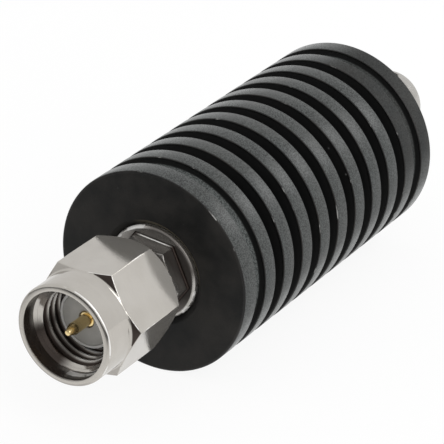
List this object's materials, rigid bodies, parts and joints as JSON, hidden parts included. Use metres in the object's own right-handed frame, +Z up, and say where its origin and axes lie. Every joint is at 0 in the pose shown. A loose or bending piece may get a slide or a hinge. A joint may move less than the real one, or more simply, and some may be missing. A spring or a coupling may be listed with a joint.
{
  "type": "rf attenuator",
  "caption": "Fixed coaxial attenuator: a finned round heat sink with a screw-on plug at one end and a threaded jack at the other.",
  "frame": {"origin": "on the common axis, at the plug's mating plane, where its outer conductor meets a jack", "axes": "+Y along the axis from the plug to the jack, +Z up, +X to the right seen from the plug"},
  "size_m": [0.016, 0.0483, 0.016],
  "materials": {
    "black_anodised": "satin black anodised, turned",
    "passivated_steel": "passivated, turned",
    "nut_steel": "passivated, satin",
    "spring_bronze": "plain spring bronze",
    "insulator_white": "smooth",
    "gold_plate": "gold plated",
    "carrier_brass": "turned brass",
    "card_ceramic": "fired alumina with a dark film"
  },
  "bodies": {
    "body": {"heat_sink": "black_anodised", "plug_body": "passivated_steel", "retaining_ring": "spring_bronze", "plug_insulator": "insulator_white", "plug_contact": "gold_plate", "jack_body": "passivated_steel", "jack_insulator": "insulator_white", "jack_contact": "gold_plate", "carrier_lower": "carrier_brass", "carrier_upper": "carrier_brass", "attenuator_card": "card_ceramic"},
    "nut": {"coupling_nut": "nut_steel"}
  },
  "joints": [
    {"name": "nut_spin", "type": "hinge", "parent": "body", "child": "nut", "pos_m": [0, 0.0035, 0], "axis": [0, 1, 0], "continuous": true}
  ]
}
